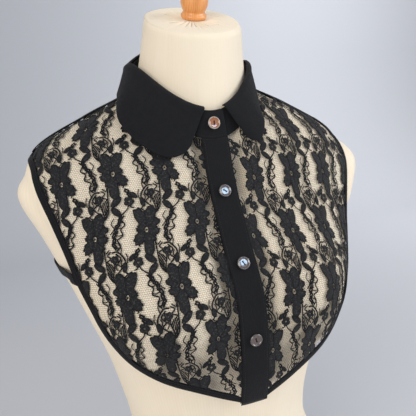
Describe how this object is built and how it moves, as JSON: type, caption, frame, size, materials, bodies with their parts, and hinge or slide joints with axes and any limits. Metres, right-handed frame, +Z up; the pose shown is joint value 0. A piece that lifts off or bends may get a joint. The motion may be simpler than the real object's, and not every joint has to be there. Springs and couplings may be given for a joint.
{
  "type": "lace collar on a dress form",
  "caption": "Black detachable lace collar with a rounded turn-down leaf, buttoned placket and bound bib, worn on a cream limbless dress form with a turned wooden knob.",
  "frame": {"origin": "on the form's flat base, under the neck's middle plane and near the body's axis", "axes": "+Z up, -Y towards the front, -X towards the wearer's right"},
  "size_m": [0.396, 0.2598, 0.6944],
  "materials": {
    "form_cloth": "matte",
    "turned_wood": "varnished",
    "black_lace": "matte",
    "black_cloth": "matte",
    "button": "glossy"
  },
  "bodies": {
    "root": {"form_body": "form_cloth", "form_finial": "turned_wood", "lace_front_right": "black_lace", "lace_front_left": "black_lace", "lace_back": "black_lace", "binding_front_right": "black_cloth", "binding_front_left": "black_cloth", "binding_back": "black_cloth", "placket_top": "black_cloth", "placket_under": "black_cloth", "collar_stand": "black_cloth", "collar_leaf": "black_cloth", "strap_right": "black_cloth", "strap_left": "black_cloth", "button_1": "button", "button_2": "button", "button_3": "button", "button_4": "button"}
  },
  "joints": []
}
